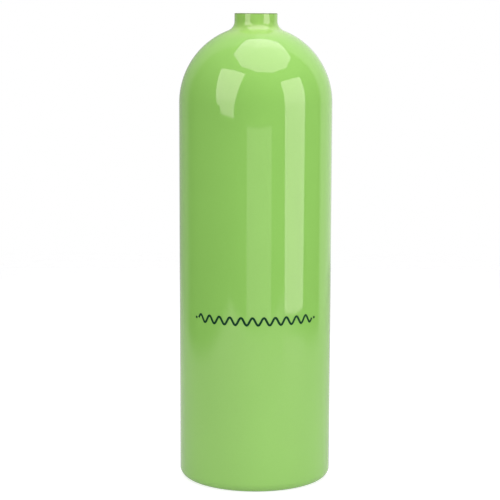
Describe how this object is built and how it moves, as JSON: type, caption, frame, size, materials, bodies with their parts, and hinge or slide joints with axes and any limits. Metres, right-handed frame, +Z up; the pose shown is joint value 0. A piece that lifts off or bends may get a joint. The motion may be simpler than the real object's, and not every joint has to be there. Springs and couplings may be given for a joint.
{
  "type": "scuba cylinder",
  "caption": "Small seamless aluminium diving air cylinder with a domed shoulder, short threaded neck and a recessed hex transit plug sealed by an O-ring.",
  "frame": {"origin": "centre of the flat ring in the base that the cylinder stands on", "axes": "+Z up along the cylinder's axis towards the neck; -Y is the side with the printed mark"},
  "size_m": [0.111, 0.111, 0.34],
  "materials": {
    "painted_cylinder": "gloss",
    "plug_nylon": "satin",
    "seal_nitrile": "satin"
  },
  "bodies": {
    "cylinder": {"cylinder_shell": "painted_cylinder"},
    "seal": {"plug_o_ring": "seal_nitrile"},
    "plug": {"neck_plug": "plug_nylon"}
  },
  "joints": [
    {"name": "plug_lift", "type": "slide", "parent": "cylinder", "child": "seal", "axis": [0, 0, 1], "range_m": [0, 0.012]},
    {"name": "plug_turn", "type": "hinge", "parent": "seal", "child": "plug", "pos_m": [0, 0, 0.335], "axis": [0, 0, 1], "range_deg": [0, 2880]}
  ],
  "couplings": [
    {"joint": "plug_turn", "follows": "plug_lift", "rad_per_m": 4188.8}
  ]
}
